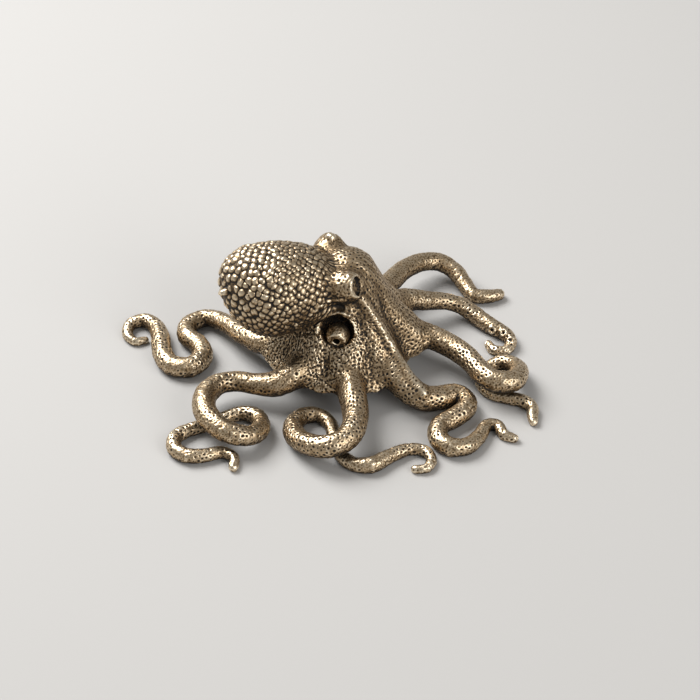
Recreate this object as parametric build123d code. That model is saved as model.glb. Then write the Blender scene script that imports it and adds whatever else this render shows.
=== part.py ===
from build123d import *
from math import asin, cos, degrees, radians, sin
import os

# Octopus figurine: a solid brass ornament about 60 mm long that rests on its eight curled arms.
# X runs from the mantle's tip towards the head's far side, Y away from the viewer, Z up from the table.
# The origin is the middle of the figurine's box, on the table.

# Driving dimensions, in millimetres
spread = 60.0
arm_radius = 2.2
crossing_gap = 0.30
ground_flat = 0.12
web_radius = 12.4
lobe_width = 1.5
crown_height = 18.8
hollow_radius = 9.0
hollow_depth = 1.5
mantle_length = 16.9
mantle_radius = 6.65
mantle_clearance = 8.4
eye_radius = 2.1
eye_length = 4.6
eye_recess_width = 2.4
eye_recess_height = 2.9
eye_recess_depth = 0.7
siphon_radius = 1.65
siphon_length = 4.0
siphon_bore = 0.95
siphon_bore_depth = 1.2
siphon_pocket_radius = 2.4
siphon_pocket_lift = 1.0

# The mouth, which all arms run out from, and the top of the crown, in plan
mouth_x_share = 0.0445
mouth_y_share = 0.0503
mouth = Vector(mouth_x_share * spread, mouth_y_share * spread, 0)

# A tail that runs under a loop of its own arm is this share of the full arm radius
tail_radius_share = 0.44
crossing_rise = 2 * tail_radius_share * arm_radius + crossing_gap

# Arms: rows of x, y, rise and girth from root to tip. x and y are shares of the spread from the mouth,
# rise is a share of the rise that clears a crossing tail, and girth is a share of the arm radius.
arm_shares = {
    "arm_left": [
        (-0.085, -0.035, 1.55, 0.95),
        (-0.150, -0.052, 1.30, 0.88),
        (-0.202, -0.032, 1.05, 0.78),
        (-0.250, 0.014, 0.78, 0.68),
        (-0.294, 0.072, 0.42, 0.62),
        (-0.338, 0.104, 0.10, 0.59),
        (-0.380, 0.080, 0.00, 0.62),
        (-0.382, 0.038, 0.00, 0.66),
        (-0.352, 0.004, 0.00, 0.68),
        (-0.343, -0.036, 0.00, 0.69),
        (-0.370, -0.073, 0.00, 0.69),
        (-0.416, -0.066, 0.00, 0.68),
        (-0.440, -0.020, 0.00, 0.66),
        (-0.446, 0.032, 0.00, 0.62),
        (-0.460, 0.078, 0.00, 0.55),
        (-0.488, 0.103, 0.00, 0.48),
        (-0.520, 0.092, 0.00, 0.42),
        (-0.528, 0.060, 0.00, 0.37),
        (-0.511, 0.034, 0.00, 0.31),
        (-0.484, 0.040, 0.00, 0.26),
    ],
    "arm_front_left": [
        (-0.070, -0.085, 1.60, 1.00),
        (-0.110, -0.150, 1.25, 0.98),
        (-0.160, -0.176, 0.95, 0.86),
        (-0.208, -0.172, 0.93, 0.72),
        (-0.255, -0.162, 0.97, 0.66),
        (-0.298, -0.174, 1.00, 0.69),
        (-0.326, -0.212, 1.00, 0.76),
        (-0.328, -0.262, 1.00, 0.77),
        (-0.304, -0.310, 1.00, 0.74),
        (-0.262, -0.336, 0.85, 0.70),
        (-0.220, -0.328, 0.50, 0.64),
        (-0.196, -0.290, 0.22, 0.60),
        (-0.206, -0.244, 0.08, 0.55),
        (-0.240, -0.226, 0.00, 0.49),
        (-0.278, -0.238, 0.00, 0.44),
        (-0.318, -0.262, 0.00, 0.44),
        (-0.362, -0.280, 0.00, 0.45),
        (-0.395, -0.308, 0.00, 0.48),
        (-0.396, -0.346, 0.00, 0.50),
        (-0.364, -0.370, 0.00, 0.49),
        (-0.322, -0.366, 0.00, 0.45),
        (-0.284, -0.356, 0.00, 0.41),
        (-0.258, -0.372, 0.00, 0.38),
        (-0.258, -0.400, 0.00, 0.32),
    ],
    "arm_front": [
        (0.004, -0.105, 1.75, 1.05),
        (0.008, -0.165, 1.25, 1.00),
        (0.014, -0.215, 1.03, 0.93),
        (0.022, -0.262, 0.98, 0.86),
        (0.022, -0.312, 1.00, 0.81),
        (0.004, -0.360, 1.00, 0.78),
        (-0.040, -0.383, 0.90, 0.75),
        (-0.085, -0.362, 0.55, 0.72),
        (-0.115, -0.322, 0.20, 0.69),
        (-0.122, -0.278, 0.08, 0.64),
        (-0.100, -0.240, 0.00, 0.57),
        (-0.062, -0.234, 0.00, 0.50),
        (-0.036, -0.262, 0.00, 0.45),
        (-0.026, -0.310, 0.00, 0.43),
        (-0.012, -0.362, 0.00, 0.44),
        (0.018, -0.396, 0.00, 0.48),
        (0.058, -0.402, 0.00, 0.54),
        (0.100, -0.372, 0.00, 0.48),
        (0.142, -0.346, 0.00, 0.42),
        (0.180, -0.348, 0.00, 0.38),
        (0.199, -0.374, 0.00, 0.35),
        (0.188, -0.404, 0.00, 0.31),
        (0.160, -0.406, 0.00, 0.27),
    ],
    "arm_front_right": [
        (0.070, -0.092, 1.75, 1.05),
        (0.106, -0.142, 1.20, 1.00),
        (0.142, -0.178, 0.64, 0.93),
        (0.182, -0.196, 0.20, 0.86),
        (0.222, -0.187, 0.04, 0.79),
        (0.256, -0.171, 0.00, 0.72),
        (0.280, -0.183, 0.00, 0.67),
        (0.285, -0.213, 0.00, 0.67),
        (0.260, -0.244, 0.00, 0.67),
        (0.220, -0.276, 0.00, 0.66),
        (0.216, -0.318, 0.00, 0.65),
        (0.244, -0.346, 0.00, 0.62),
        (0.282, -0.340, 0.00, 0.56),
        (0.310, -0.306, 0.00, 0.49),
        (0.330, -0.266, 0.00, 0.43),
        (0.356, -0.266, 0.00, 0.40),
        (0.368, -0.293, 0.00, 0.37),
        (0.392, -0.304, 0.00, 0.30),
    ],
    "arm_right": [
        (0.105, 0.012, 1.55, 0.76),
        (0.160, 0.000, 1.32, 0.80),
        (0.210, -0.020, 1.10, 0.81),
        (0.252, -0.045, 1.00, 0.77),
        (0.290, -0.085, 1.00, 0.74),
        (0.322, -0.138, 1.00, 0.72),
        (0.356, -0.166, 1.00, 0.72),
        (0.394, -0.160, 0.92, 0.69),
        (0.411, -0.116, 0.60, 0.63),
        (0.404, -0.078, 0.30, 0.57),
        (0.382, -0.055, 0.12, 0.52),
        (0.353, -0.057, 0.02, 0.46),
        (0.329, -0.083, 0.00, 0.42),
        (0.321, -0.120, 0.00, 0.40),
        (0.340, -0.152, 0.00, 0.40),
        (0.378, -0.170, 0.00, 0.43),
        (0.414, -0.180, 0.00, 0.44),
        (0.438, -0.202, 0.00, 0.41),
        (0.438, -0.231, 0.00, 0.37),
        (0.440, -0.248, 0.00, 0.31),
    ],
    "arm_back_right": [
        (0.092, 0.070, 1.80, 0.92),
        (0.146, 0.104, 1.45, 0.78),
        (0.198, 0.122, 1.10, 0.64),
        (0.244, 0.136, 0.78, 0.56),
        (0.284, 0.132, 0.45, 0.56),
        (0.318, 0.108, 0.15, 0.58),
        (0.350, 0.080, 0.00, 0.56),
        (0.381, 0.058, 0.00, 0.48),
        (0.398, 0.029, 0.00, 0.42),
        (0.386, 0.000, 0.00, 0.36),
        (0.357, 0.001, 0.00, 0.34),
        (0.344, 0.023, 0.00, 0.29),
    ],
    "arm_back": [
        (0.060, 0.082, 1.85, 0.88),
        (0.098, 0.152, 1.55, 0.74),
        (0.136, 0.220, 1.30, 0.67),
        (0.178, 0.266, 1.05, 0.63),
        (0.226, 0.284, 0.78, 0.61),
        (0.268, 0.264, 0.45, 0.59),
        (0.293, 0.226, 0.15, 0.55),
        (0.314, 0.194, 0.00, 0.51),
        (0.348, 0.193, 0.00, 0.48),
        (0.376, 0.202, 0.00, 0.40),
    ],
    "arm_back_left": [
        (-0.050, 0.085, 1.80, 0.95),
        (-0.088, 0.140, 1.35, 0.84),
        (-0.130, 0.178, 0.90, 0.74),
        (-0.182, 0.186, 0.45, 0.67),
        (-0.222, 0.206, 0.12, 0.63),
        (-0.240, 0.248, 0.00, 0.61),
        (-0.218, 0.290, 0.00, 0.58),
        (-0.172, 0.302, 0.00, 0.54),
        (-0.136, 0.276, 0.00, 0.50),
        (-0.112, 0.238, 0.00, 0.46),
        (-0.074, 0.234, 0.00, 0.41),
        (-0.054, 0.266, 0.00, 0.35),
        (-0.072, 0.296, 0.00, 0.26),
    ],
}
sections_per_row = 3
tip_angles = [30, 55, 75]
ring_arcs = 4

# Crown: its lobes run down into the arms. Rows of bearing in degrees, the lobe's reach and the reach
# of the web up to the next lobe, as shares of the web radius
lobe_shares = [
    (196, 1.04, 1.00),
    (236, 1.04, 1.00),
    (272, 1.04, 1.03),
    (306, 1.04, 0.83),
    (354, 1.02, 0.78),
    (397, 0.90, 0.90),
    (418, 0.92, 0.90),
    (480, 1.00, 0.95),
]
# Rows of height as a share of the crown's, then how much of their reach web and lobes still have, and how
# much is left of the difference between one web's reach and the next
crown_shares = [
    (0.175, 1.00, 1.00, 1.00),
    (0.215, 0.97, 1.00, 0.95),
    (0.290, 0.85, 0.94, 0.82),
    (0.390, 0.73, 0.80, 0.60),
    (0.520, 0.59, 0.635, 0.40),
    (0.660, 0.475, 0.50, 0.22),
    (0.780, 0.40, 0.41, 0.10),
    (0.880, 0.33, 0.335, 0.00),
    (0.945, 0.25, 0.25, 0.00),
    (0.980, 0.15, 0.15, 0.00),
    (0.997, 0.05, 0.05, 0.00),
]
widest_lobe_share = 0.27
shoulder_share = 0.98

# Mantle: its axis runs back from the crown at this bearing. Rows of place as a share of its length, then
# drift to the far side, lift and radius as shares of its radius
mantle_bearing = 196.6
mantle_start_share = 0.06
mantle_shares = [
    (0.00, 0.00, -0.13, 0.47),
    (0.09, 0.00, -0.10, 0.66),
    (0.18, 0.00, -0.06, 0.78),
    (0.34, 0.00, -0.02, 0.91),
    (0.51, 0.00, 0.00, 0.99),
    (0.66, 0.02, 0.00, 1.00),
    (0.80, 0.07, 0.03, 0.89),
    (0.90, 0.13, 0.05, 0.68),
    (0.965, 0.18, 0.08, 0.44),
    (0.99, 0.20, 0.09, 0.24),
    (1.00, 0.21, 0.10, 0.12),
]

# Turned bodies close in at their front rim with this slope
rim_slope = -0.6

# Eyes: where the pupil's recess sits, as shares of the crown height, and the way it looks. The profile
# has rows of place along the body and girth
eye_forward_share = 0.01
eye_side_share = 0.285
eye_height_share = 0.915
eye_forward_angle = 43
eye_lift_angle = 21
eye_profile_shares = [(0.10, 0.76), (0.35, 1.12), (0.70, 1.05), (1.00, 0.80)]

# Siphon: its mouth's reach as a share of the web radius, its height as a share of the crown's, and the
# way it points
siphon_bearing = 261
siphon_reach_share = 0.67
siphon_height_share = 0.475
siphon_pocket_share = 0.09
siphon_profile_shares = [(0.25, 0.62), (0.50, 0.98), (0.72, 1.00), (1.00, 0.74)]


def between(rows, place):
    """Values on the smooth curve through the rows, at a place counted in rows."""
    start = min(int(place), len(rows) - 2)
    part = place - start
    before = rows[max(start - 1, 0)]
    after = rows[min(start + 2, len(rows) - 1)]
    values = []
    for a, b, c, d in zip(before, rows[start], rows[start + 1], after):
        slope_in = (c - a) / 2
        slope_out = (d - b) / 2
        rest = c - b
        square = 3 * rest - 2 * slope_in - slope_out
        cube = slope_in + slope_out - 2 * rest
        values.append(b + slope_in * part + square * part**2 + cube * part**3)
    return values


def towards(bearing, lift=0):
    """A unit arrow at a compass-like bearing from X, lifted above the table by an angle."""
    flat = cos(radians(lift))
    return Vector(flat * cos(radians(bearing)), flat * sin(radians(bearing)), sin(radians(lift)))


def level_plane(origin, heading):
    """A plane square to the heading, with its own X axis level."""
    return Plane(origin=origin, x_dir=heading.cross(Vector(0, 0, 1)), z_dir=heading)


def ring(centre, heading, radius):
    """The arcs of a round section, whose corners keep their place from ring to ring along a curl."""
    sweep = 360 / ring_arcs
    level = level_plane(centre, heading)
    return [level * CenterArc((0, 0), radius, number * sweep, sweep) for number in range(ring_arcs)]


def skin(rings):
    """A solid with ruled patches from each ring to the next and a flat end at either side."""
    patches = [make_face(rings[0]).face(), make_face(rings[-1]).face()]
    for near, far in zip(rings, rings[1:]):
        for near_arc, far_arc in zip(near, far):
            patches.append(Face.make_surface_from_curves(near_arc.edge(), far_arc.edge()))
    return Solid(Shell(patches))


def arm_point(rows, place):
    """Centre and radius of an arm at a place counted in rows."""
    x_share, y_share, rise_share, girth_share = between(rows, place)
    radius = girth_share * arm_radius
    height = radius - ground_flat + rise_share * crossing_rise
    return mouth + Vector(x_share * spread, y_share * spread, height), radius


def arm(rows):
    """A tapering arm through its rows, rounded at the tip and dressed flat where it touches the table."""
    steps = (len(rows) - 1) * sections_per_row
    stations = [arm_point(rows, step / sections_per_row) for step in range(steps + 1)]
    rings = []
    for step, (centre, radius) in enumerate(stations):
        ahead = stations[min(step + 1, steps)][0]
        behind = stations[max(step - 1, 0)][0]
        heading = (ahead - behind).normalized()
        rings.append(ring(centre, heading, radius))
    for turn in tip_angles:
        nose = centre + heading * radius * sin(radians(turn))
        rings.append(ring(nose, heading, radius * cos(radians(turn))))
    return skin(rings).split(Plane.XY, keep=Keep.TOP)


def crown():
    """Head and web in one: a lobed cone whose web runs out thin between the arm roots."""
    rings = []
    for height_share, web_share, lobe_share, notch_share in crown_shares:
        points = []
        for number, (bearing, lobe_reach, web_reach) in enumerate(lobe_shares):
            gap_before = (bearing - lobe_shares[number - 1][0]) % 360
            gap_after = (lobe_shares[(number + 1) % len(lobe_shares)][0] - bearing) % 360
            rib = (1 + (lobe_reach - 1) * notch_share) * lobe_share * web_radius
            shoulder = degrees(asin(min(lobe_width / rib, 1)))
            before = min(shoulder, gap_before * widest_lobe_share)
            after = min(shoulder, gap_after * widest_lobe_share)
            valley = (1 + (web_reach - 1) * notch_share) * web_share * web_radius
            points.append(towards(bearing - before) * rib * shoulder_share)
            points.append(towards(bearing) * rib)
            points.append(towards(bearing + after) * rib * shoulder_share)
            points.append(towards(bearing + gap_after / 2) * valley)
        level = Plane(mouth + Vector(0, 0, height_share * crown_height))
        rings.append(level * make_face(Spline(*points, periodic=True)))
    return loft(rings)


def mantle():
    """The egg-shaped sac behind the head, clear of the table, its narrow end seated in the crown."""
    axis = towards(mantle_bearing)
    far_side = Vector(0, 0, 1).cross(-axis)
    middle = mantle_clearance + mantle_radius
    start = mouth + axis * mantle_start_share * mantle_length + Vector(0, 0, middle)
    rings = []
    for along_share, drift_share, lift_share, girth_share in mantle_shares:
        drift = far_side * drift_share + Vector(0, 0, lift_share)
        centre = start + axis * along_share * mantle_length + drift * mantle_radius
        rings.append(make_face(ring(centre, axis, girth_share * mantle_radius)))
    return loft(rings)


def bullet(length, radius, profile_shares):
    """A round-backed turned body along Z, its flat front on the XY plane."""
    points = [(place * length - length, girth * radius) for place, girth in profile_shares]
    outline = Spline((-length, 0), *points, tangents=[(0, 1), (1, rim_slope)])
    front = Line(points[-1], (0, 0))
    half = make_face([outline, front, Line((0, 0), (-length, 0))])
    turned = revolve(half, Axis.X)
    return Rot(0, -90, 0) * turned


def eye(side):
    """An eye's raised mound, with the oval recess of the pupil in its face."""
    forward = -towards(mantle_bearing)
    across = Vector(0, 0, 1).cross(forward) * side
    place = forward * eye_forward_share + across * eye_side_share + Vector(0, 0, eye_height_share)
    turn = radians(eye_forward_angle)
    flat = forward * cos(turn) + across * sin(turn)
    lift = radians(eye_lift_angle)
    look = flat * cos(lift) + Vector(0, 0, sin(lift))
    mound = bullet(eye_length, eye_radius, eye_profile_shares)
    pupil = extrude(Ellipse(eye_recess_width / 2, eye_recess_height / 2), -eye_recess_depth)
    return level_plane(mouth + place * crown_height, look) * (mound - pupil)


def siphon_place():
    """Middle of the siphon's mouth."""
    reach = towards(siphon_bearing) * siphon_reach_share * web_radius
    return mouth + reach + Vector(0, 0, siphon_height_share * crown_height)


def siphon():
    """The short bulb below the mantle's edge, bored at its mouth."""
    bulb = bullet(siphon_length, siphon_radius, siphon_profile_shares)
    bore = extrude(Circle(siphon_bore / 2), -siphon_bore_depth)
    return level_plane(siphon_place(), towards(siphon_bearing)) * (bulb - bore)


def siphon_pocket():
    """The arched recess that the siphon sits in."""
    middle = siphon_place() - towards(siphon_bearing) * siphon_pocket_share * web_radius
    return Pos(middle + Vector(0, 0, siphon_pocket_lift)) * Sphere(siphon_pocket_radius)


def underside_hollow():
    """The shallow bowl under the web, which keeps the metal even."""
    bowl_radius = (hollow_radius**2 + hollow_depth**2) / (2 * hollow_depth)
    base = crown_shares[0][0] * crown_height
    return Pos(mouth + Vector(0, 0, base + hollow_depth - bowl_radius)) * Sphere(bowl_radius)


# Each piece is dressed to the larger ones that it seats against, so they meet face to face
whole_crown = crown()
sac = mantle()
parts = {"mantle": sac}
parts["head_and_web"] = whole_crown - sac - siphon_pocket() - underside_hollow()
parts["siphon"] = siphon() - parts["head_and_web"]
parts["left_eye"] = eye(1) - whole_crown - sac
parts["right_eye"] = eye(-1) - whole_crown - sac
earlier_arms = []
for name, rows in arm_shares.items():
    limb = arm(rows) - whole_crown - sac
    for neighbour in earlier_arms[-1:] + earlier_arms[:1]:
        limb = limb - neighbour
    parts[name] = limb
    earlier_arms.append(limb)

os.makedirs("parts", exist_ok=True)
for name, shape in parts.items():
    export_step(shape, f"parts/{name}.step")
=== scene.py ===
import math

import bpy
import numpy as np
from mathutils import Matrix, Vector
from mathutils.bvhtree import BVHTree


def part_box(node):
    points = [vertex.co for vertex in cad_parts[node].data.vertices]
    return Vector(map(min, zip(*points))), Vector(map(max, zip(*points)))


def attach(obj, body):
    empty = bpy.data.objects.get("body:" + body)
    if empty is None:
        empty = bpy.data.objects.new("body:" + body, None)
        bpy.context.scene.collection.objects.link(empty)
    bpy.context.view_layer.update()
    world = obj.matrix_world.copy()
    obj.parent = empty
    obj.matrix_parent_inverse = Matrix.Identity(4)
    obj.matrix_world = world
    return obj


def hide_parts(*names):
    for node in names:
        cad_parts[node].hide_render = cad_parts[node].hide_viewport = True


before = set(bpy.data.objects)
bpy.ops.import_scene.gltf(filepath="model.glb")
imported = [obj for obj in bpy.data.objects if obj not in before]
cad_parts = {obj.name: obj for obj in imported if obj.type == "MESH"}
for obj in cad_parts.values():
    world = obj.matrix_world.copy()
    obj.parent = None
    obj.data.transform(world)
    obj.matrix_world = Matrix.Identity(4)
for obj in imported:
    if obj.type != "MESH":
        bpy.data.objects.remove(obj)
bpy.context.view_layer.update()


# The camera. It looks down on the figurine from 42 degrees above the table, from far off through a long
# lens, so that the arms at the front are hardly larger than those at the back.
# Work on the figurine is done in millimetres, and its finished pieces are made in metres.
metre = 1000.0
camera_lift = math.radians(42)
camera_distance = 420.0
camera_aim = Vector((3.29, 3.80, 0.0))
picture_width = 700
picture_scale = 0.1446

look = Vector((0, math.cos(camera_lift), -math.sin(camera_lift)))
picture_up = Vector((0, math.sin(camera_lift), math.cos(camera_lift)))
picture_right = Vector((1, 0, 0))
camera_place = camera_aim - camera_distance * look

camera_data = bpy.data.cameras.new("camera")
camera_data.sensor_width = 36
camera_data.lens = 36 * camera_distance / (picture_scale * picture_width)
camera_data.clip_start = 0.01
camera_data.clip_end = 20
camera = bpy.data.objects.new("camera", camera_data)
camera.location = camera_place / metre
camera.rotation_euler = (math.pi / 2 - camera_lift, 0, 0)
bpy.context.scene.collection.objects.link(camera)
bpy.context.scene.camera = camera


# The wax model. Mantle, head, siphon, eyes and arms are formed one by one in wax and welded together, and
# the seams are smoothed over with a warm tool until the arms run into the web without a step.
# Every tool mark below is made on this one skin, which is parted into its pieces again at the end.
skin_grain = 0.122
merging_digits = 4
smoothing_share = 0.5
swelling_share = -0.52
seam_reach_rounds = 120
seam_strength = 22
seam_smoothing_rounds = 150
active_weight = 0.01

piece_names = sorted(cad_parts)
wax_points, wax_faces, wax_pieces = [], [], []
for number, name in enumerate(piece_names):
    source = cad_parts[name].data
    source.calc_loop_triangles()
    points = np.empty(len(source.vertices) * 3, dtype=np.float32)
    source.vertices.foreach_get("co", points)
    corners = np.empty(len(source.loop_triangles) * 3, dtype=np.int32)
    source.loop_triangles.foreach_get("vertices", corners)
    merged, places = np.unique((points.reshape(-1, 3) * metre).round(merging_digits), axis=0, return_inverse=True)
    faces = places.reshape(-1)[corners].reshape(-1, 3)
    faces = faces[(faces[:, 0] != faces[:, 1]) & (faces[:, 1] != faces[:, 2]) & (faces[:, 2] != faces[:, 0])]
    wax_faces.append(faces + sum(len(part) for part in wax_points))
    wax_points.append(merged)
    wax_pieces.append(np.full(len(faces), number, dtype=np.int32))

waxes_mesh = bpy.data.meshes.new("waxes")
waxes_mesh.from_pydata(np.concatenate(wax_points), [], np.concatenate(wax_faces).tolist())
waxes_mesh.attributes.new("piece", "INT", "FACE").data.foreach_set("value", np.concatenate(wax_pieces))
waxes = bpy.data.objects.new("waxes", waxes_mesh)
bpy.context.scene.collection.objects.link(waxes)


def new_tree(name, inputs):
    """A geometry node tree with named inputs, and its input and output nodes."""
    tree = bpy.data.node_groups.new(name, "GeometryNodeTree")
    tree.interface.new_socket("Geometry", in_out="INPUT", socket_type="NodeSocketGeometry")
    for label, kind, value in inputs:
        socket = tree.interface.new_socket(label, in_out="INPUT", socket_type=kind)
        if value is not None:
            socket.default_value = value
    tree.interface.new_socket("Geometry", in_out="OUTPUT", socket_type="NodeSocketGeometry")
    return tree, tree.nodes.new("NodeGroupInput"), tree.nodes.new("NodeGroupOutput")


def add(tree, kind, settings=None, **sockets):
    """A node with its settings and sockets filled in. A socket is named, or numbered as in_0."""
    node = tree.nodes.new(kind)
    for key, value in (settings or {}).items():
        setattr(node, key, value)
    for key, value in sockets.items():
        if key.startswith("in_"):
            socket = node.inputs[int(key[3:])]
        else:
            socket = node.inputs[key.replace("_", " ")]
        if isinstance(value, bpy.types.NodeSocket):
            tree.links.new(value, socket)
        else:
            socket.default_value = value
    return node


def math_node(tree, operation, a, b=0.0, c=0.0):
    """One sum, as a socket."""
    return add(tree, "ShaderNodeMath", {"operation": operation}, in_0=a, in_1=b, in_2=c).outputs[0]


def worked(item, tree, **values):
    """The plain mesh that a tree makes of an object, with the tree's named inputs set first."""
    modifier = item.modifiers.new(tree.name, "NODES")
    modifier.node_group = tree
    for socket in tree.interface.items_tree:
        label = socket.name.lower().replace(" ", "_")
        if socket.in_out == "INPUT" and label in values:
            modifier[socket.identifier] = values[label]
    item.update_tag()
    evaluated = item.evaluated_get(bpy.context.evaluated_depsgraph_get())
    mesh = bpy.data.meshes.new_from_object(evaluated)
    item.modifiers.clear()
    return mesh


# The joined skin: one closed surface round all the waxes, on which every point knows its piece
tree, given, made = new_tree("nearest wax", [("Waxes", "NodeSocketObject", None)])
waxes_in = add(tree, "GeometryNodeObjectInfo", in_0=given.outputs["Waxes"])
piece_in = add(tree, "GeometryNodeInputNamedAttribute", {"data_type": "INT"}, Name="piece")
nearest = add(tree, "GeometryNodeSampleNearestSurface", {"data_type": "INT"},
              Mesh=waxes_in.outputs["Geometry"], Value=piece_in.outputs["Attribute"])
stored = add(tree, "GeometryNodeStoreNamedAttribute", {"data_type": "INT", "domain": "POINT"},
             Geometry=given.outputs["Geometry"], Name="piece", Value=nearest.outputs["Value"])
tree.links.new(stored.outputs["Geometry"], made.inputs["Geometry"])

skin = bpy.data.objects.new("skin", waxes_mesh.copy())
bpy.context.scene.collection.objects.link(skin)
remesh = skin.modifiers.new("joined", "REMESH")
remesh.mode = "VOXEL"
remesh.voxel_size = skin_grain
skin.data = worked(skin, tree, waxes=waxes)


def read(mesh, name, width=1, kind=np.float32):
    """The values of a named attribute."""
    values = np.empty(len(mesh.attributes[name].data) * width, dtype=kind)
    mesh.attributes[name].data.foreach_get("vector" if width == 3 else "value", values)
    return values.reshape(-1, width) if width > 1 else values


def store(mesh, name, values):
    """Keeps a value or an arrow for every point of a mesh under a name."""
    kind = "FLOAT_VECTOR" if values.ndim > 1 else "FLOAT"
    layer = mesh.attributes.get(name) or mesh.attributes.new(name, kind, "POINT")
    layer.data.foreach_set("vector" if values.ndim > 1 else "value", values.astype(np.float32).ravel())


def place_points(mesh, points):
    """Moves a mesh's points."""
    mesh.vertices.foreach_set("co", points.astype(np.float32).ravel())
    mesh.update()


def outward(mesh):
    """The outward arrow at every point."""
    arrows = np.empty(len(mesh.vertices) * 3, dtype=np.float32)
    mesh.vertex_normals.foreach_get("vector", arrows)
    return arrows.reshape(-1, 3).astype(float)


points = read(skin.data, "position", 3).astype(float)
piece = read(skin.data, "piece", 1, np.int32)
edges = np.empty(len(skin.data.edges) * 2, dtype=np.int32)
skin.data.edges.foreach_get("vertices", edges)
edges = edges.reshape(-1, 2)
starts = np.concatenate([edges[:, 0], edges[:, 1]])
ends = np.concatenate([edges[:, 1], edges[:, 0]])
partners = np.bincount(starts, minlength=len(points)).astype(float)


def spread_out(values, rounds):
    """Values smoothed over the skin, each point taking the middle of its neighbours' values."""
    for _ in range(rounds):
        total = np.bincount(starts, weights=values[ends], minlength=len(values))
        values = 0.5 * values + 0.5 * total / partners
    return values


def smoothed(places, rounds, share, where=None):
    """Points drawn towards the middle of their neighbours, all over or only where a weight says so."""
    near, far = starts, ends
    if where is not None:
        active = where > active_weight
        kept = active[starts]
        near, far = starts[kept], ends[kept]
    for _ in range(rounds):
        pull = np.stack([np.bincount(near, weights=places[far, axis], minlength=len(places))
                         for axis in range(3)], axis=1) / partners[:, None] - places
        if where is None:
            places = places + share * pull
        else:
            places = places + share * where[:, None] * np.where(active[:, None], pull, 0)
    return places


seam = np.bincount(starts, weights=(piece[starts] != piece[ends]) * 1.0, minlength=len(points)) > 0
siphon_number = piece_names.index("siphon")
beside_siphon = np.bincount(starts, weights=(piece[ends] == siphon_number) * 1.0, minlength=len(points)) > 0
seam &= (piece != siphon_number) & ~beside_siphon
seam_weight = np.clip(spread_out(seam.astype(float), seam_reach_rounds) * seam_strength, 0, 1)
for _ in range(2):
    points = smoothed(points, 1, smoothing_share)
    points = smoothed(points, 1, swelling_share)
points = smoothed(points, seam_smoothing_rounds, smoothing_share, seam_weight)
points[:, 2] = np.maximum(points[:, 2], 0)
place_points(skin.data, points)


# Siphon: the short bored bulb below the mantle's edge, a solid wax set into a pocket in the head's side. It
# is pushed a little up the head with its pocket while the wax is soft, the pocket's lower rim is wiped
# flat, so that the pocket is open below, and a bright lip is drawn over it.
siphon_push = np.array([0, 0.30, 0.43])
push_core, push_reach = 2.8, 5.0
mantle_hold_rounds = 30
wiped_core, wiped_reach = 0.6, 1.7
wiping_rounds = 260
lip_width, lip_rise = 0.5, 0.34
slit_width, slit_rise = 0.7, -0.30


def soft_mask(names, rounds=14):
    """1 on the named pieces, 0 on the others, with a soft border."""
    numbers = [piece_names.index(name) for name in names]
    return spread_out(np.isin(piece, numbers).astype(float), rounds)


def soft_step(values, low, high):
    """0 below the low value, 1 above the high one, and a soft rise between."""
    share = np.clip((values - low) / (high - low), 0, 1)
    return share * share * (3 - 2 * share)


def wax_tree(name):
    """One wax by itself, to measure distances to it and to find points on it."""
    number = piece_names.index(name)
    first = sum(len(part) for part in wax_points[:number])
    return BVHTree.FromPolygons(wax_points[number].tolist(), (wax_faces[number] - first).tolist())


def under_pixels(pixels):
    """The points of the skin that lie under these pixels of the camera's picture."""
    spots = []
    for across, down in pixels:
        side = picture_right * (across - picture_width / 2) * picture_scale
        side += picture_up * (picture_width / 2 - down) * picture_scale
        hit = whole_skin.ray_cast(camera_place, look * camera_distance + side)[0]
        if hit is not None:
            spots.append(np.array(hit))
    return spots


def distance_to_line(spots):
    """How far every point of the skin is from a line through these spots."""
    best = np.full(len(points), 1e9)
    for near, far in zip(spots, spots[1:]):
        run = far - near
        along = np.clip((points - near) @ run / (run @ run), 0, 1)
        best = np.minimum(best, np.linalg.norm(points - near - along[:, None] * run, axis=1))
    return best


def rounded(spots):
    """More spots between these, on a smooth curve through them all."""
    spots = [2 * spots[0] - spots[1], *spots, 2 * spots[-1] - spots[-2]]
    curve = []
    for a, b, c, d in zip(spots, spots[1:], spots[2:], spots[3:]):
        for step in np.linspace(0, 1, 6, endpoint=False):
            curve.append(0.5 * (2 * b + (c - a) * step + (2 * a - 5 * b + 4 * c - d) * step ** 2
                                + (3 * b - a - 3 * c + d) * step ** 3))
    return curve + [spots[-2]]


def tooled_line(pixels, width, rise):
    """A ridge, or with a negative rise a groove, drawn over the skin along a line of the picture."""
    return rise * (1 - soft_step(distance_to_line(rounded(under_pixels(pixels))), 0, width))


def tooled_rings(pixels, radius, rise):
    """Small raised rings with a dip in the middle, pressed into the skin at spots of the picture."""
    rings = np.zeros(len(points))
    for spot in under_pixels(pixels):
        share = np.linalg.norm(points - spot, axis=1) / radius
        rings += rise * np.exp(-((share - 0.8) / 0.33) ** 2) - 1.2 * rise * (1 - soft_step(share, 0, 0.6))
    return rings


# What the tools do to the skin is added up as a height above it
height = np.zeros(len(points))
arrows = outward(skin.data)
corners = np.empty(len(skin.data.loops), dtype=np.int32)
skin.data.loops.foreach_get("vertex_index", corners)
quads = corners.reshape(-1, 4)
whole_skin = BVHTree.FromPolygons(points.tolist(), quads.tolist())

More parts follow.
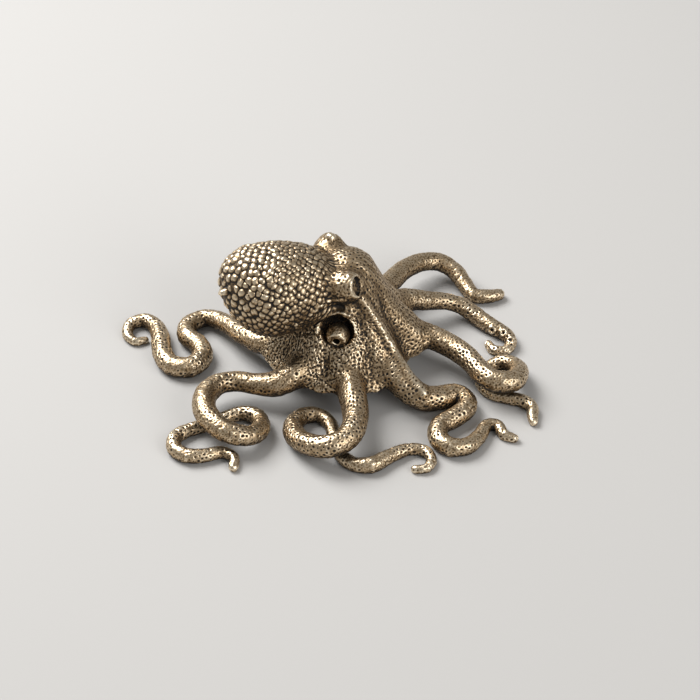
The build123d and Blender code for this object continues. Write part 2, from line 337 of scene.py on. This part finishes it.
to_siphon = np.linalg.norm(points - points[piece == siphon_number].mean(axis=0), axis=1)
pushed = (1 - soft_step(to_siphon, push_core, push_reach)) * (1 - soft_mask(["mantle"], mantle_hold_rounds))
points = points + pushed[:, None] * siphon_push
place_points(skin.data, points)
whole_skin = BVHTree.FromPolygons(points.tolist(), quads.tolist())
rim_spots = under_pixels([(321, 341), (326, 347), (333, 351), (341, 352), (349, 350), (356, 344)])
rim_weight = 1 - soft_step(distance_to_line(rounded(rim_spots)), wiped_core, wiped_reach)
points = smoothed(points, wiping_rounds, smoothing_share, rim_weight * (piece != siphon_number))
place_points(skin.data, points)
arrows = outward(skin.data)
whole_skin = BVHTree.FromPolygons(points.tolist(), quads.tolist())
height += tooled_line([(317, 333), (318.5, 324), (325, 316.5), (333, 313), (341, 312.5), (349, 315.5)],
                      lip_width, lip_rise)
height += tooled_line([(320, 313), (327, 309), (334, 307), (342, 307.5)], slit_width, slit_rise)


# Mantle: the egg-shaped sac behind the head, solid brass. Its skin is set with round pebbles in slanting
# rows, each pushed up from the wax, largest on the flanks and finer towards the neck.
mantle_aim = Vector((math.cos(math.radians(196.6)), math.sin(math.radians(196.6)), 0))
pebble_count = 780
pebble_reach = 0.65
pebble_height = 0.27
pebble_crowding = 0.84
pebble_roundness = 2.3
pebble_wander = 0.11
turn_wander = 0.012
smallest_pebble, largest_pebble = 0.72, 1.14
blunt_end_shrink = 0.16
valley_share = 0.55
valley_floor = -0.15
fold_width, fold_depth = 0.62, 0.10
fold_core, fold_reach = 0.7, 2.0
neck_core, neck_reach = 0.3, 4.0
nub_height = 1.1
nub_core, nub_reach = 0.15, 0.7

mantle_box = [Vector(corner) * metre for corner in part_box("mantle")]
mantle_middle = (mantle_box[0] + mantle_box[1]) / 2
mantle_tree = wax_tree("mantle")
golden_turn = math.pi * (3 - math.sqrt(5))
chance = np.random.default_rng(11)
side_aim = Vector((0, 0, 1)).cross(mantle_aim)
seats, sizes = [], []
for number in range(pebble_count):
    along = 1 - 2 * ((number + 0.5) / pebble_count) ** pebble_crowding
    around = number * golden_turn + chance.normal(0, turn_wander)
    across = math.sqrt(1 - along * along)
    arrow = mantle_aim * along + side_aim * across * math.cos(around)
    arrow += Vector((0, 0, across * math.sin(around)))
    hit = mantle_tree.ray_cast(mantle_middle, arrow)[0]
    if hit is not None:
        seats.append(hit + Vector(chance.normal(0, pebble_wander, 3)))
        sizes.append(chance.uniform(smallest_pebble, largest_pebble) - blunt_end_shrink * max(-along, 0))
seat_mesh = bpy.data.meshes.new("pebble seats")
seat_mesh.from_pydata(seats, [], [])
seat_mesh.attributes.new("size", "FLOAT", "POINT").data.foreach_set("value", sizes)
pebble_seats = bpy.data.objects.new("pebble seats", seat_mesh)
bpy.context.scene.collection.objects.link(pebble_seats)

tree, given, made = new_tree("pebbles", [
    ("Seats", "NodeSocketObject", None),
    ("Pebble reach", "NodeSocketFloat", pebble_reach),
    ("Pebble height", "NodeSocketFloat", pebble_height),
])
seats_in = add(tree, "GeometryNodeObjectInfo", in_0=given.outputs["Seats"]).outputs["Geometry"]
place = add(tree, "GeometryNodeInputPosition").outputs[0]
drift = add(tree, "ShaderNodeTexNoise", Vector=place, Scale=1.1, Detail=1.0).outputs["Color"]
drift = add(tree, "ShaderNodeVectorMath", {"operation": "SUBTRACT"}, in_0=drift, in_1=(0.5, 0.5, 0.5)).outputs[0]
bent = add(tree, "ShaderNodeVectorMath", {"operation": "MULTIPLY_ADD"}, in_0=drift, in_1=(0.45, 0.45, 0.45),
           in_2=place).outputs[0]
nearest = add(tree, "GeometryNodeSampleNearest", {"domain": "POINT"},
              Geometry=seats_in, Sample_Position=bent).outputs["Index"]
seat = add(tree, "GeometryNodeSampleIndex", {"data_type": "FLOAT_VECTOR"},
           Geometry=seats_in, Value=place, Index=nearest).outputs["Value"]
size_in = add(tree, "GeometryNodeInputNamedAttribute", {"data_type": "FLOAT"}, Name="size")
size = add(tree, "GeometryNodeSampleIndex", {"data_type": "FLOAT"},
           Geometry=seats_in, Value=size_in.outputs["Attribute"], Index=nearest).outputs["Value"]
gap = add(tree, "ShaderNodeVectorMath", {"operation": "DISTANCE"}, in_0=bent, in_1=seat).outputs["Value"]
part = math_node(tree, "DIVIDE", gap, math_node(tree, "MULTIPLY", given.outputs["Pebble reach"], size))
dome = math_node(tree, "SUBTRACT", 1.0, math_node(tree, "POWER", part, pebble_roundness))
dome = math_node(tree, "MAXIMUM", dome, valley_floor)
dome = math_node(tree, "MULTIPLY", dome, math_node(tree, "MULTIPLY", size, given.outputs["Pebble height"]))
stored = add(tree, "GeometryNodeStoreNamedAttribute", {"data_type": "FLOAT", "domain": "POINT"},
             Geometry=given.outputs["Geometry"], Name="pebbles", Value=dome)
tree.links.new(stored.outputs["Geometry"], made.inputs["Geometry"])
pebbles = read(worked(skin, tree, seats=pebble_seats), "pebbles").astype(float)

mantle_mask = soft_mask(["mantle"])
head_tree = wax_tree("head_and_web")
to_head = np.full(len(points), 9.0)
for index in np.nonzero(mantle_mask > active_weight)[0]:
    to_head[index] = head_tree.find_nearest(Vector(points[index]))[3]
folded = (1 - soft_step(to_head, fold_core, fold_reach)) * soft_step(-arrows[:, 2], -0.75, 0.1)
folds = np.cos(to_head * math.tau / fold_width)
neck_share = mantle_mask * (1 - soft_step(to_head, neck_core, neck_reach)) * soft_step(arrows[:, 2], 0.1, 0.7)
height += mantle_mask * ((1 - 0.85 * folded) * (1 - 0.6 * neck_share) * (pebbles - valley_share * pebble_height)
                         + folded * fold_depth * folds)
nub_spots = under_pixels([(224.5, 292), (226, 291.5)])
height += nub_height * (1 - soft_step(distance_to_line(nub_spots), nub_core, nub_reach))


# Head and web: one solid brass wax. Its skin runs down over the arm roots in a lace of pits and bright ridges,
# and is drawn into fine wrinkles round the neck. It is tooled in the wax with a ball point and a needle.
pit_spacing = 0.56
lace_depth = 0.13
dash_depth = 0.34
wrinkle_depth = 0.24
neck_wrinkle_depth = 0.26
head_pit_depth = 0.10
mantle_grain_depth = 0.12
lace_middle, noise_middle = 0.6, 0.5
web_top, crown_start = 9.0, 15.5
smooth_side_start, smooth_side_full = 4.0, 9.0
smallest_pit, largest_pit = 0.12, 0.33
crest_width, crest_rise = 1.1, 0.42
fold_line_width, fold_line_rise = 0.5, 0.17

tree, given, made = new_tree("tooled skin", [
    ("Lace size", "NodeSocketFloat", 0.42),
    ("Pit spacing", "NodeSocketFloat", pit_spacing),
    ("Dash width", "NodeSocketFloat", 0.35),
    ("Wrinkle width", "NodeSocketFloat", 0.46),
])
place = add(tree, "GeometryNodeInputPosition").outputs[0]
drift = add(tree, "ShaderNodeTexNoise", Vector=place, Scale=0.9, Detail=1.0).outputs["Color"]
drift = add(tree, "ShaderNodeVectorMath", {"operation": "SUBTRACT"}, in_0=drift, in_1=(0.5, 0.5, 0.5)).outputs[0]
warped = add(tree, "ShaderNodeVectorMath", {"operation": "MULTIPLY_ADD"}, in_0=drift, in_1=(0.9, 0.9, 0.9),
             in_2=place).outputs[0]
lace_scale = math_node(tree, "DIVIDE", 1.0, given.outputs["Lace size"])
lace = add(tree, "ShaderNodeTexVoronoi", {"feature": "SMOOTH_F1"}, Vector=warped, Scale=lace_scale,
           Smoothness=0.2, Randomness=0.95).outputs["Distance"]
lace = add(tree, "ShaderNodeMapRange", {"interpolation_type": "SMOOTHSTEP"}, Value=lace,
           in_1=0.15, in_2=0.60, in_3=0.0, in_4=1.0).outputs[0]
pit_seats = add(tree, "GeometryNodeDistributePointsOnFaces", {"distribute_method": "POISSON"},
                Mesh=given.outputs["Geometry"], Distance_Min=given.outputs["Pit spacing"], Density_Max=30.0,
                Seed=5).outputs["Points"]
shifted = add(tree, "ShaderNodeVectorMath", {"operation": "MULTIPLY_ADD"}, in_0=drift, in_1=(0.3, 0.3, 0.3),
              in_2=place).outputs[0]
pit_nearest = add(tree, "GeometryNodeSampleNearest", {"domain": "POINT"}, Geometry=pit_seats,
                  Sample_Position=shifted).outputs["Index"]
pit_seat = add(tree, "GeometryNodeSampleIndex", {"data_type": "FLOAT_VECTOR"}, Geometry=pit_seats,
               Value=place, Index=pit_nearest).outputs["Value"]
pit_width = add(tree, "FunctionNodeRandomValue", {"data_type": "FLOAT"}, in_2=smallest_pit, in_3=largest_pit,
                ID=pit_nearest, Seed=9).outputs[1]
pit_gap = add(tree, "ShaderNodeVectorMath", {"operation": "DISTANCE"}, in_0=shifted, in_1=pit_seat).outputs["Value"]
pit = add(tree, "ShaderNodeMapRange", {"interpolation_type": "SMOOTHSTEP"},
          Value=math_node(tree, "DIVIDE", pit_gap, pit_width), in_1=0.2, in_2=1.0, in_3=1.0, in_4=0.0).outputs[0]
cobble = math_node(tree, "DIVIDE", pit_gap, given.outputs["Pit spacing"])
cobble = math_node(tree, "SUBTRACT", 1.0, math_node(tree, "POWER", cobble, 2.0))
patch = add(tree, "ShaderNodeTexNoise", Vector=place, Scale=0.26, Detail=2.0).outputs[0]
patch = add(tree, "ShaderNodeMapRange", {"interpolation_type": "SMOOTHSTEP"}, Value=patch,
            in_1=0.45, in_2=0.57, in_3=0.0, in_4=1.0).outputs[0]
grainy = add(tree, "ShaderNodeTexNoise", Vector=place, Scale=2.4, Detail=2.0).outputs[0]
swell = add(tree, "ShaderNodeTexNoise", Vector=place, Scale=0.55, Detail=1.0).outputs[0]
flow = add(tree, "GeometryNodeInputNamedAttribute", {"data_type": "FLOAT_VECTOR"}, Name="flow").outputs["Attribute"]


def streaks(width, stretch):
    """Noise drawn out along the flow of the skin."""
    squeezed = add(tree, "ShaderNodeVectorMath", {"operation": "MULTIPLY"}, in_0=flow,
                   in_1=(1.0, 1.0, 1.0 / stretch)).outputs[0]
    return add(tree, "ShaderNodeTexNoise", Vector=squeezed, Scale=math_node(tree, "DIVIDE", 1.0, width),
               Detail=1.5, Roughness=0.55).outputs[0]


wrinkle = streaks(given.outputs["Wrinkle width"], 8.0)
dash = streaks(given.outputs["Dash width"], 2.4)
skin_out = given.outputs["Geometry"]
marks = {"lace": lace, "pit": pit, "cobble": cobble, "patch": patch, "grainy": grainy, "swell": swell,
         "wrinkle": wrinkle, "dash": dash}
for label, value in marks.items():
    skin_out = add(tree, "GeometryNodeStoreNamedAttribute", {"data_type": "FLOAT", "domain": "POINT"},
                   Geometry=skin_out, Name=label, Value=value).outputs["Geometry"]
tree.links.new(skin_out, made.inputs["Geometry"])

# The skin flows out from under the mantle, over the head and down to every arm
head_middle = np.array([2.67, 3.018])
source_setback = 5.5
turn_length = 9
source = head_middle + np.array(mantle_aim)[:2] * source_setback
radial = points[:, :2] - source
reach = np.hypot(radial[:, 0], radial[:, 1])
downhill = reach + (points[:, 2].max() - points[:, 2])
turns = radial / reach[:, None] * turn_length
store(skin.data, "flow", np.stack([turns[:, 0], turns[:, 1], downhill], axis=1))
tooled = worked(skin, tree)
marks = {label: read(tooled, label).astype(float) for label in marks}

head_mask = soft_mask(["head_and_web"])
top_share = soft_step(points[:, 2], web_top, crown_start)
right_share = soft_step(points[:, 0], smooth_side_start, smooth_side_full) * (1 - top_share)
web_marks = lace_depth * (marks["lace"] - lace_middle) + dash_depth * (marks["dash"] - noise_middle)
smooth_marks = wrinkle_depth * (marks["wrinkle"] - noise_middle) - head_pit_depth * marks["pit"]
head_marks = (1 - top_share) * (1 - 0.6 * right_share) * web_marks
head_marks += np.maximum(top_share, 0.75 * right_share) * smooth_marks
height += mantle_grain_depth * mantle_mask * (marks["grainy"] - noise_middle)
height += head_mask * head_marks + neck_wrinkle_depth * neck_share * (marks["wrinkle"] - noise_middle)
height += tooled_line([(362, 300), (374, 317), (386, 336), (398, 356), (412, 377), (424, 393)],
                      crest_width, crest_rise)
height += tooled_line([(296, 325), (308, 317), (320, 306), (332, 300.5), (345, 300)],
                      fold_line_width, fold_line_rise)


# Eyes: two solid waxes welded on at the sides of the head, each with a recessed pupil. The brow is pitted
# with a ball point, and the far eye ends in a small peak. The siphon's bulb gets the same rough skin.
small_mask_rounds = 6
eye_grain, eye_lace, eye_swell, eye_pit = 0.10, 0.06, 0.18, 0.03
brow_ring_radius, brow_ring_rise = 0.52, 0.07
peak_height = 0.5
peak_core, peak_reach = 0.1, 0.9

small_mask = soft_mask(["left_eye", "right_eye", "siphon"], small_mask_rounds)
height += small_mask * (eye_grain * (marks["grainy"] - noise_middle) + eye_lace * (marks["lace"] - lace_middle)
                        + eye_swell * (marks["swell"] - noise_middle) - eye_pit * marks["pit"])
height += tooled_rings([(334, 275), (339.5, 272.5), (346, 276.5), (338.5, 281)],
                       brow_ring_radius, brow_ring_rise)
peak_spots = under_pixels([(329.5, 236.5), (331.5, 237)])
height += peak_height * (1 - soft_step(distance_to_line(peak_spots), peak_core, peak_reach))


# Arms: solid brass, cast in one with the web. They are smooth along the back, with small pits from the
# wax and patches of scales on the curls.
scale_depth, arm_pit_depth = 0.15, 0.15
arm_lace, arm_grain, arm_swell = 0.02, 0.03, 0.22
scale_middle = 0.8
back_arm_scales = 0.85
sucker_radius, sucker_rise = 0.55, 0.2

arm_names = [name for name in piece_names if name.startswith("arm_")]
arm_mask = soft_mask(arm_names)
scaly = np.maximum(marks["patch"], back_arm_scales * soft_mask(["arm_back"]))
arm_marks = scale_depth * scaly * (marks["cobble"] - scale_middle)
arm_marks -= (1 - 0.5 * scaly) * arm_pit_depth * marks["pit"]
arm_marks += arm_lace * (marks["lace"] - lace_middle) + arm_grain * (marks["grainy"] - noise_middle)
arm_marks += arm_swell * (marks["swell"] - noise_middle)
height += arm_mask * arm_marks
height += tooled_rings([(491.7, 330), (503.5, 332.6), (510.7, 340)], sucker_radius, sucker_rise)


# The casting: what the tools did is pressed into the skin. The brass is darkened with liver of sulphur, which
# stays in every recess, and the high places are rubbed bright again. Skin that faces down is darkened further
# as painted shade, and skin that faces up is lightened as painted light.
relief_levels = ((3, 6.0), (14, 2.2), (60, 0.8))
middle_tone = 0.5
painted_under_shade, painted_top_light = 0.38, 0.05
cloud_scale, speck_scale = 260.0, 2600.0
cloud_share, speck_share = 0.16, 0.12

points = points + arrows * height[:, None]
points[:, 2] = np.maximum(points[:, 2], 0)
place_points(skin.data, points)
arrows = outward(skin.data)
patina_and_painted_shading = np.zeros(len(points))
level = points
for rounds, share in relief_levels:
    level = smoothed(level, rounds, smoothing_share)
    patina_and_painted_shading += share * ((points - level) * arrows).sum(axis=1)
# Painted shade: the tone is made darker where the skin faces down.
patina_and_painted_shading += middle_tone - painted_under_shade * soft_step(-arrows[:, 2], -0.45, 0.8)
# Painted light: the tone is made lighter where the skin faces up.
patina_and_painted_shading += painted_top_light * soft_step(arrows[:, 2], 0.3, 1.0)
store(skin.data, "patina_and_painted_shading", np.clip(patina_and_painted_shading, 0, 1))

brass = bpy.data.materials.new("antique_brass")
brass.use_nodes = True
shade = brass.node_tree
shade.nodes.clear()
surface_out = shade.nodes.new("ShaderNodeOutputMaterial")
metal = shade.nodes.new("ShaderNodeBsdfPrincipled")
shade.links.new(metal.outputs[0], surface_out.inputs["Surface"])
spot = add(shade, "ShaderNodeTexCoord").outputs["Object"]
# The tone read here holds the patina in recesses, painted shade on downward skin and painted light on upward skin.
patina_and_painted_shading_value = add(shade, "ShaderNodeAttribute", {"attribute_name": "patina_and_painted_shading"}).outputs["Fac"]
cloud = add(shade, "ShaderNodeTexNoise", Vector=spot, Scale=cloud_scale, Detail=4.0, Roughness=0.6).outputs[0]
speck = add(shade, "ShaderNodeTexNoise", Vector=spot, Scale=speck_scale, Detail=3.0, Roughness=0.65).outputs[0]
for noise, share in ((cloud, cloud_share), (speck, speck_share)):
    drift = math_node(shade, "MULTIPLY", math_node(shade, "SUBTRACT", noise, 0.5), share)
    patina_and_painted_shading_value = math_node(shade, "ADD", patina_and_painted_shading_value, drift)
tint = shade.nodes.new("ShaderNodeValToRGB")
stops = [(0.22, (0.007, 0.0055, 0.0045, 1)), (0.38, (0.050, 0.034, 0.020, 1)), (0.51, (0.24, 0.165, 0.092, 1)),
         (0.65, (0.50, 0.375, 0.235, 1)), (0.88, (0.82, 0.70, 0.52, 1))]
while len(tint.color_ramp.elements) < len(stops):
    tint.color_ramp.elements.new(0.5)
for element, (position, colour) in zip(tint.color_ramp.elements, stops):
    element.position = position
    element.color = colour
shade.links.new(patina_and_painted_shading_value, tint.inputs[0])
shade.links.new(tint.outputs[0], metal.inputs["Base Color"])
bare = add(shade, "ShaderNodeMapRange", Value=patina_and_painted_shading_value, in_1=0.25, in_2=0.50, in_3=0.35, in_4=1.0).outputs[0]
shade.links.new(bare, metal.inputs["Metallic"])
dull = add(shade, "ShaderNodeMapRange", Value=patina_and_painted_shading_value, in_1=0.25, in_2=0.75, in_3=0.60, in_4=0.31).outputs[0]
shade.links.new(dull, metal.inputs["Roughness"])
bump = add(shade, "ShaderNodeBump", Height=speck, Strength=0.15, Distance=0.00006).outputs[0]
shade.links.new(bump, metal.inputs["Normal"])


# The pieces, parted along the seams. Each is closed where it was welded to its neighbour, so that it is a
# whole piece by itself, and goes where its wax stood.
cap_tone = 0.2

votes = piece[quads]
face_piece = np.median(votes, axis=1).astype(int)
face_piece = np.where((votes == face_piece[:, None]).any(axis=1), face_piece, votes[:, 0])


def rims_of(faces):
    """The open rims of some faces, each as a ring of points that passes no point twice."""
    sides = np.stack([faces, np.roll(faces, -1, axis=1)], axis=2).reshape(-1, 2).astype(np.int64)
    keys = sides[:, 0] * len(points) + sides[:, 1]
    open_sides = sides[~np.isin(sides[:, 1] * len(points) + sides[:, 0], keys)].tolist()
    onward = {}
    for near, far in open_sides:
        onward.setdefault(far, []).append(near)
    rings = []
    for start in [far for near, far in open_sides]:
        path, seen = [start], {start: 0}
        while onward.get(path[-1]):
            step = onward[path[-1]].pop()
            if step in seen:
                rings.append(path[seen[step]:])
                for place in path[seen[step] + 1:]:
                    del seen[place]
                path = path[:seen[step] + 1]
            else:
                seen[step] = len(path)
                path.append(step)
    return rings


for number, name in enumerate(piece_names):
    own = quads[face_piece == number]
    rings = rims_of(own)
    used, renamed = np.unique(own, return_inverse=True)
    middles = [points[ring].mean(axis=0) for ring in rings]
    caps = [(np.searchsorted(used, near), np.searchsorted(used, far), len(used) + index)
            for index, ring in enumerate(rings) for near, far in zip(ring, ring[1:] + ring[:1])]
    cast_points = np.concatenate([points[used], np.array(middles).reshape(-1, 3)]) / metre
    part_mesh = bpy.data.meshes.new(name + "_cast")
    part_mesh.from_pydata(cast_points, [], renamed.reshape(-1, 4).tolist() + caps)
    store(part_mesh, "patina_and_painted_shading", np.concatenate([np.clip(patina_and_painted_shading[used], 0, 1), np.full(len(middles), cap_tone)]))
    ring_keys = {(min(cap[:2]), max(cap[:2])) for cap in caps}
    sharp = [tuple(sorted(edge.vertices)) in ring_keys for edge in part_mesh.edges]
    part_mesh.attributes.new("sharp_edge", "BOOLEAN", "EDGE").data.foreach_set("value", sharp)
    part_mesh.polygons.foreach_set("use_smooth", [True] * len(own) + [False] * len(caps))
    part_mesh.materials.append(brass)
    cast = bpy.data.objects.new(name + "_cast", part_mesh)
    bpy.context.scene.collection.objects.link(cast)
    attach(cast, "root")
    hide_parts(name)

for item in (skin, waxes, pebble_seats):
    bpy.data.objects.remove(item)


# Table, room and lamps: a plain pale table, a large soft lamp from behind on the left, and a weaker one
# from the front.
table_mesh = bpy.data.meshes.new("table")
table_mesh.from_pydata([(-3, -3, 0), (3, -3, 0), (3, 3, 0), (-3, 3, 0)], [], [(0, 1, 2, 3)])
table = bpy.data.objects.new("table", table_mesh)
bpy.context.scene.collection.objects.link(table)
paint = bpy.data.materials.new("pale_table")
paint.use_nodes = True
paint.node_tree.nodes["Principled BSDF"].inputs["Base Color"].default_value = (0.49, 0.48, 0.465, 1)
paint.node_tree.nodes["Principled BSDF"].inputs["Roughness"].default_value = 0.9
table_mesh.materials.append(paint)

room = bpy.data.worlds.new("room")
room.use_nodes = True
bpy.context.scene.world = room
room.node_tree.nodes["Background"].inputs["Color"].default_value = (1.0, 0.98, 0.95, 1)
room.node_tree.nodes["Background"].inputs["Strength"].default_value = 0.32


def lamp(name, place, size, power):
    """A square soft lamp aimed at the figurine."""
    data = bpy.data.lights.new(name, "AREA")
    data.size = size
    data.energy = power
    item = bpy.data.objects.new(name, data)
    item.location = place
    item.rotation_euler = (Vector((0, 0, 0.01)) - Vector(place)).to_track_quat("-Z", "Y").to_euler()
    bpy.context.scene.collection.objects.link(item)


lamp("key_lamp", (-0.22, 0.16, 0.34), 0.27, 2.6)
lamp("fill_lamp", (0.30, -0.28, 0.25), 0.30, 1.0)

bpy.context.scene.view_settings.view_transform = "Standard"
